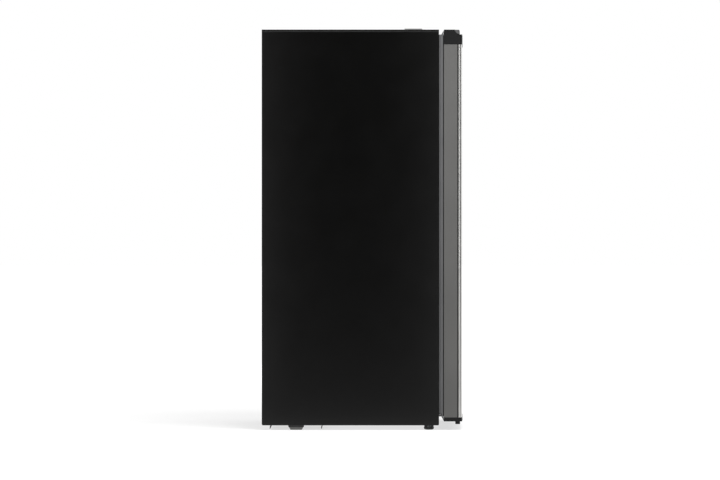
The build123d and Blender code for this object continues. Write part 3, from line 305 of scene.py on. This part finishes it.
def sweep_ring(bm, rings, closed=True):
    """Faces between rings of points, one ring after another."""
    rows = [[bm.verts.new(p) for p in ring] for ring in rings]
    pairs = list(zip(rows, rows[1:]))
    if closed:
        pairs.append((rows[-1], rows[0]))
    for a, b in pairs:
        for i in range(len(a)):
            j = (i + 1) % len(a)
            bm.faces.new((a[i], a[j], b[j], b[i]))
    if not closed:
        bm.faces.new(rows[0])
        bm.faces.new(rows[-1][::-1])


def lathe(bm, profile, place, segments):
    """A body of revolution: profile is (radius, height) pairs from its axis out and back to it."""
    rows = []
    for radius, height in profile:
        rows.append([
            place @ Vector((
                radius * math.cos(2 * math.pi * k / segments),
                radius * math.sin(2 * math.pi * k / segments), height,
            ))
            for k in range(segments)
        ])
    sweep_ring(bm, rows, closed=False)


def rounded_loop(half_x, low_z, high_z, corner, steps=6):
    """Points round a rounded rectangle in the XZ plane, with their outward directions."""
    loop = []
    for cx, cz, start in (
        (half_x - corner, high_z - corner, 0), (corner - half_x, high_z - corner, 90),
        (corner - half_x, low_z + corner, 180), (half_x - corner, low_z + corner, 270),
    ):
        for k in range(steps + 1):
            angle = math.radians(start + 90 * k / steps)
            out = Vector((math.cos(angle), 0, math.sin(angle)))
            loop.append((Vector((cx, 0, cz)) + corner * out, out))
    return loop


# door: black rubber strips in the joint between the frame and the front and in the seam behind the frame;
# their black also paints the shade of these narrow grooves
front_low, front_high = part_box("door_front")
door_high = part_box("door_frame")[1]
GROOVE_WIDTH = 2.7 * MM
GROOVE_DEPTH = 2.5 * MM
STRIP_BULGE = 1.1 * MM
STRIP_END_GAP = 0.2 * MM
STRIP_SIDE_GAP = 0.05 * MM
STRIP_STEPS = 8
SEAM_DEPTH = 2.0 * MM
SEAM_FILL = 2.2 * MM
SEAM_INSET = 5 * MM
SEAM_CORNER = 6 * MM
SEAM_HALF_THICKNESS = 0.95 * MM
SEAM_HALF_WIDTH = 1.6 * MM
SEAM_STEPS = 10
joint_y = front_high.y + GROOVE_WIDTH / 2


# black rubber strips in the groove between frame and front: partly a real joint strip, partly painted shade
# standing in for the shadow inside the groove
def rubber_and_shade_groove_strips(bm):
    for side in (-1, 1):
        x = side * (door_high.x - GROOVE_DEPTH)
        rings = []
        for z in (front_low.z + STRIP_END_GAP, front_high.z - STRIP_END_GAP):
            ring = []
            for k in range(STRIP_STEPS + 1):
                angle = math.pi * k / STRIP_STEPS
                ring.append(Vector((
                    x + side * STRIP_BULGE * math.sin(angle),
                    joint_y + (GROOVE_WIDTH / 2 - STRIP_SIDE_GAP) * math.cos(angle), z,
                )))
            rings.append(ring)
        sweep_ring(bm, rings, closed=False)


piece("door_rubber_and_shade_groove_strips", "door", "rubber_black", rubber_and_shade_groove_strips)


# black rubber strip round the seam behind the frame: partly a real seal, partly painted shade standing in
# for the shadow in the gap
def seam_rubber_and_shade(bm):
    low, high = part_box("door_liner")
    y = door_high.y + SEAM_DEPTH / 2
    rings = []
    half_x = door_high.x - SEAM_FILL
    for point, out in rounded_loop(half_x, low.z + SEAM_INSET, high.z - SEAM_INSET, SEAM_CORNER):
        ring = []
        for k in range(SEAM_STEPS):
            angle = 2 * math.pi * k / SEAM_STEPS
            level = Vector((0, y + SEAM_HALF_THICKNESS * math.sin(angle), 0))
            ring.append(point + level + out * SEAM_HALF_WIDTH * (math.cos(angle) - 1))
        rings.append(ring)
    sweep_ring(bm, rings)


piece("door_seam_rubber_and_shade", "door", "rubber_black", seam_rubber_and_shade)


def turned(location, axis):
    """A placement whose +Z looks along an axis."""
    return Matrix.Translation(location) @ Vector(axis).to_track_quat("Z", "Y").to_matrix().to_4x4()


SCREW_PROFILE = (
    (0.01, 0.0), (3.6, 0.0), (3.9, 0.12), (3.7, 0.38), (2.9, 0.63), (1.9, 0.75), (1.85, 0.52), (0.01, 0.47),
)
SOCKET_CORNER = ((0.35, 0.35), (1.9, 0.35), (1.9, 1.2), (1.2, 1.9), (0.35, 1.9))
SOCKET_LEVELS = (0.42, 0.73)
SCREW_SEGMENTS = 24


def screw(bm, location, axis):
    """A flat pan-head screw, its cross recess left open between four corners."""
    place = turned(location, axis)
    lathe(bm, [(r * MM, h * MM) for r, h in SCREW_PROFILE], place, SCREW_SEGMENTS)
    for quarter in range(4):
        spin = place @ Matrix.Rotation(math.radians(90 * quarter), 4, "Z")
        rings = [[spin @ Vector((x * MM, y * MM, h * MM)) for x, y in SOCKET_CORNER] for h in SOCKET_LEVELS]
        sweep_ring(bm, rings, closed=False)


back_low, back_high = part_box("back_panel")
SCREW_INSET = 20 * MM  # clear of the shell's rear flange
SCREW_ROWS = 4
SCREW_MIDDLE_X = 75 * MM  # the two screws between the corners of the top row


def back_screws(bm):
    y = back_high.y
    top = shell_high.z - SCREW_INSET
    for side in (-1, 1):
        x = side * (shell_high.x - SCREW_INSET)
        for row in range(SCREW_ROWS):
            z = back_low.z + SCREW_INSET + (top - back_low.z - SCREW_INSET) * row / (SCREW_ROWS - 1)
            screw(bm, (x, y, z), (0, 1, 0))
        screw(bm, (side * SCREW_MIDDLE_X, y, top), (0, 1, 0))


piece("back_panel_screws", "cabinet", "zinc_steel", back_screws, smooth=False)


# thermostat: scale printed on the housing and a pointer on the knob's grip, both following the knob's joint
knob_low, knob_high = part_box("thermostat_knob")
housing_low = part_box("thermostat_housing")[0]
knob_centre = (knob_low + knob_high) / 2
knob_radius = (knob_high.x - knob_low.x) / 2
knob_joint = next(j for j in frame["record"]["behaviour"]["joints"] if j["name"] == "thermostat_turn")
DIAL_STEPS = 5  # few enough for every tick to lie on the flat of the housing
DIAL_START = 90  # the grip points up at rest
DIAL_SWEEP = knob_joint["range_deg"][1]
DIAL_TURN = -knob_joint["axis"][1]  # 1 where the knob turns anticlockwise, seen from the door
PRINT_THICKNESS = 0.12 * MM
TICK_GAP = 1.0 * MM
TICK_LENGTH = 1.8 * MM
TICK_HALF_WIDTH = 0.35 * MM
POINTER_START = 0.35  # of the knob's radius
POINTER_END = 0.86
POINTER_HALF_WIDTH = 0.7 * MM
POINTER_SUNK = 0.3 * MM
POINTER_PROUD = 0.15 * MM


def dial_angle(step):
    return math.radians(DIAL_START + DIAL_TURN * DIAL_SWEEP * step / DIAL_STEPS)


def dial_ticks(bm):
    y = housing_low.y
    for step in range(DIAL_STEPS + 1):
        angle = dial_angle(step)
        out = Vector((math.cos(angle), 0, math.sin(angle)))
        across = Vector((-out.z, 0, out.x)) * TICK_HALF_WIDTH
        inner = Vector((knob_centre.x, 0, knob_centre.z)) + out * (knob_radius + TICK_GAP)
        outer = inner + out * TICK_LENGTH
        corners = (inner - across, outer - across, outer + across, inner + across)
        rings = [[p + Vector((0, level, 0)) for p in corners] for level in (y, y - PRINT_THICKNESS)]
        sweep_ring(bm, rings, closed=False)


piece("thermostat_scale", "cabinet", "relay_plastic", dial_ticks, smooth=False)


def knob_pointer(bm):
    angle = dial_angle(0)
    out = Vector((math.cos(angle), 0, math.sin(angle)))
    across = Vector((-out.z, 0, out.x)) * POINTER_HALF_WIDTH
    centre = Vector((knob_centre.x, knob_low.y, knob_centre.z))
    inner = centre + out * knob_radius * POINTER_START
    outer = centre + out * knob_radius * POINTER_END
    corners = (inner - across, outer - across / 2, outer + across / 2, inner + across)
    rings = [[p + Vector((0, level, 0)) for p in corners] for level in (POINTER_SUNK, -POINTER_PROUD)]
    sweep_ring(bm, rings, closed=False)


piece("knob_pointer", "thermostat_knob", "relay_plastic", knob_pointer, smooth=False)

# compressor: its crimped process tube
shell_c_low, shell_c_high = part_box("compressor_shell")


TUBE_ROOT = Vector((34, -26, -18)) * MM  # from the left, rear and top of the compressor
TUBE_RADIUS = 3.1 * MM
TUBE_STEPS = 14
TUBE_SIDES = 16
TUBE_BEND = math.radians(80)
BEND_REACH = 16 * MM
BEND_FLATTENING = 0.9
BEND_END = 0.5  # of the tube's way, and straight from there
STRAIGHT_FOOT = 0.75 * BEND_REACH
STRAIGHT_LEAN = 4 * MM
STRAIGHT_RISE = 44 * MM
PINCH_START = 0.85  # of the tube's way
PINCH_RATE = 4.2


def process_tube(bm):
    start = Vector((shell_c_low.x, shell_c_high.y, shell_c_high.z)) + TUBE_ROOT
    side = Vector((1, 0, 0))
    rings = []
    for step in range(TUBE_STEPS + 1):
        t = step / TUBE_STEPS
        bend = min(t / BEND_END, 1.0) * TUBE_BEND
        reach = BEND_REACH * math.sin(bend)
        if t <= BEND_END:
            centre = start + Vector((0, reach, BEND_REACH * (1 - math.cos(bend)) * BEND_FLATTENING))
        else:
            past = t - BEND_END
            centre = start + Vector((0, reach + STRAIGHT_LEAN * past, STRAIGHT_FOOT + STRAIGHT_RISE * past))
        up = side.cross(Vector((0, math.cos(bend), math.sin(bend))))
        flat = 1.0 if t < PINCH_START else 1.0 - PINCH_RATE * (t - PINCH_START)
        rings.append([
            centre + side * TUBE_RADIUS * (2 - flat) * math.cos(a) + up * TUBE_RADIUS * flat * math.sin(a)
            for a in (2 * math.pi * k / TUBE_SIDES for k in range(TUBE_SIDES))
        ])
    sweep_ring(bm, rings, closed=False)


piece("compressor_process_tube", "cabinet", "copper", process_tube)


# ---------------------------------------------------------------- stage
def plain_plane(name, size, location, material):
    mesh = bpy.data.meshes.new(name)
    bm = bmesh.new()
    bmesh.ops.create_grid(bm, x_segments=1, y_segments=1, size=size)
    bm.to_mesh(mesh)
    bm.free()
    obj = bpy.data.objects.new(name, mesh)
    obj.location = location
    obj.data.materials.append(material)
    bpy.context.scene.collection.objects.link(obj)
    return obj


def shader_tree(block):
    block.use_nodes = True
    block.node_tree.nodes.clear()
    return block.node_tree


def math_node(tree, operation, a, b):
    """One Math node on two outputs or numbers."""
    n = tree.nodes.new("ShaderNodeMath")
    n.operation = operation
    for socket, value in zip(n.inputs, (a, b)):
        if isinstance(value, (int, float)):
            socket.default_value = value
        else:
            tree.links.new(value, socket)
    return n.outputs[0]


def range_node(tree, value, low, high, out_low, out_high):
    n = tree.nodes.new("ShaderNodeMapRange")
    n.interpolation_type = "SMOOTHSTEP"
    n.inputs["From Min"].default_value = low
    n.inputs["From Max"].default_value = high
    n.inputs["To Min"].default_value = out_low
    n.inputs["To Max"].default_value = out_high
    tree.links.new(value, n.inputs["Value"])
    return n.outputs["Result"]


ROOM_LEVEL = 0.3  # light of the room on the object
DARK_SIDE = 0.03  # what polished surfaces see of the room behind the camera
FLOOR_HALF_SIZE = 40
FLOOR_DROP = 0.0002  # clear of the feet
FLOOR_COLOUR = (0.36, 0.36, 0.36, 1)
FLOOR_GLOW = 0.66  # round the object, so that its shadow shows
FAR_GLOW = 1.02
GLOW_REACH = (0.9, 3.5)  # the distances between which the floor's glow grows
FLOOR_DARK_TO_BRIGHT = (-0.75, -0.2)  # x across which the mirrored floor turns bright
BACKDROP_DARK_TO_BRIGHT = (-0.4, 0.45)  # the same for the backdrop, as a direction


def floor_shader():
    """A dull floor that glows white for the camera and in what metal and glass show of it."""
    material = bpy.data.materials.new("floor")
    tree = shader_tree(material)
    path = tree.nodes.new("ShaderNodeLightPath")
    coords = tree.nodes.new("ShaderNodeTexCoord")
    reach = tree.nodes.new("ShaderNodeVectorMath")
    reach.operation = "LENGTH"
    tree.links.new(coords.outputs["Object"], reach.inputs[0])
    split = tree.nodes.new("ShaderNodeSeparateXYZ")
    tree.links.new(coords.outputs["Object"], split.inputs[0])
    bright = range_node(tree, split.outputs["X"], *FLOOR_DARK_TO_BRIGHT, DARK_SIDE, 1.0)
    mirrored = math_node(tree, "MULTIPLY", path.outputs["Is Glossy Ray"], bright)
    seen = math_node(tree, "MAXIMUM", path.outputs["Is Camera Ray"], path.outputs["Is Transmission Ray"])
    seen = math_node(tree, "MAXIMUM", seen, mirrored)
    spread = range_node(tree, reach.outputs["Value"], *GLOW_REACH, FLOOR_GLOW, FAR_GLOW)
    glow = tree.nodes.new("ShaderNodeEmission")
    tree.links.new(math_node(tree, "MULTIPLY", seen, spread), glow.inputs["Strength"])
    diffuse = tree.nodes.new("ShaderNodeBsdfDiffuse")
    diffuse.inputs["Color"].default_value = FLOOR_COLOUR
    both = tree.nodes.new("ShaderNodeAddShader")
    tree.links.new(diffuse.outputs[0], both.inputs[0])
    tree.links.new(glow.outputs[0], both.inputs[1])
    out = tree.nodes.new("ShaderNodeOutputMaterial")
    tree.links.new(both.outputs[0], out.inputs["Surface"])
    return material


def backdrop_world():
    """White for the camera and through glass, darker where the black side mirrors it, dim as light."""
    world = bpy.data.worlds.new("world")
    tree = shader_tree(world)
    path = tree.nodes.new("ShaderNodeLightPath")
    coords = tree.nodes.new("ShaderNodeTexCoord")
    split = tree.nodes.new("ShaderNodeSeparateXYZ")
    tree.links.new(coords.outputs["Generated"], split.inputs[0])
    bright = range_node(tree, split.outputs["X"], *BACKDROP_DARK_TO_BRIGHT, DARK_SIDE, 1.0)
    white = math_node(tree, "MAXIMUM", path.outputs["Is Camera Ray"], path.outputs["Is Transmission Ray"])
    mirrored = math_node(tree, "MULTIPLY", path.outputs["Is Glossy Ray"], bright)
    soft = math_node(tree, "MULTIPLY", path.outputs["Is Diffuse Ray"], ROOM_LEVEL)
    strength = math_node(tree, "MAXIMUM", math_node(tree, "MAXIMUM", white, mirrored), soft)
    background = tree.nodes.new("ShaderNodeBackground")
    background.inputs["Color"].default_value = (1, 1, 1, 1)
    tree.links.new(strength, background.inputs["Strength"])
    out = tree.nodes.new("ShaderNodeOutputWorld")
    tree.links.new(background.outputs[0], out.inputs["Surface"])
    world.cycles.sampling_method = "NONE"
    return world


plain_plane("floor", FLOOR_HALF_SIZE, (0, 0, -FLOOR_DROP), floor_shader())
bpy.context.scene.world = backdrop_world()


def area_light(name, location, target, size, energy, size_y=None):
    data = bpy.data.lights.new(name, "AREA")
    data.shape = "RECTANGLE"
    data.size = size
    data.size_y = size_y or size
    data.energy = energy
    obj = bpy.data.objects.new(name, data)
    obj.location = location
    obj.rotation_euler = (Vector(target) - Vector(location)).to_track_quat("-Z", "Y").to_euler()
    bpy.context.scene.collection.objects.link(obj)
    obj.visible_camera = False
    return obj


LAMP_TARGET = (0, 0, 0.42)
KEY_PLACE = (-1.35, -0.6, 3.0)
KEY_SIZE = 1.4
KEY_POWER = 80
ROOM_LAMPS = {"front": (0.5, -3.4, 2.4), "right": (3.2, -0.6, 2.4), "back": (0.4, 3.2, 2.4)}
ROOM_LAMP_SIZE = 2.6
ROOM_LAMP_POWER = 38
STRIP_DISTANCE = 1.15  # from the cabinet's near side
STRIP_OFFSET = 0.27  # past its front and back
STRIP_Z = 0.62
STRIP_WIDTH = 0.36
STRIP_LENGTH = 1.5
STRIP_POWER = 3
TOP_STRIP_Y = 0.03
TOP_STRIP_Z = 1.42
TOP_STRIP_TARGET_Z = 1.3
TOP_STRIP_LENGTH = 0.9
TOP_STRIP_POWER = 2.4

key = area_light("key", KEY_PLACE, LAMP_TARGET, KEY_SIZE, KEY_POWER)
key.visible_glossy = False  # the strips give the black sides their reflections
room = {
    name: area_light(name, place, LAMP_TARGET, ROOM_LAMP_SIZE, ROOM_LAMP_POWER)
    for name, place in ROOM_LAMPS.items()
}
room["back"].visible_glossy = False  # mirrored in the black top, it would whiten it
strip_x = shell_low.x - STRIP_DISTANCE
strip_rows = {"strip_front": shell_low.y - STRIP_OFFSET, "strip_back": shell_high.y + STRIP_OFFSET}
for name, strip_y in strip_rows.items():
    place = (strip_x, strip_y, STRIP_Z)
    area_light(name, place, (shell_low.x, strip_y, STRIP_Z), STRIP_WIDTH, STRIP_POWER, STRIP_LENGTH)
area_light(
    "strip_top", (strip_x, TOP_STRIP_Y, TOP_STRIP_Z), (shell_low.x, TOP_STRIP_Y, TOP_STRIP_TARGET_Z),
    TOP_STRIP_LENGTH, TOP_STRIP_POWER, STRIP_WIDTH,
)
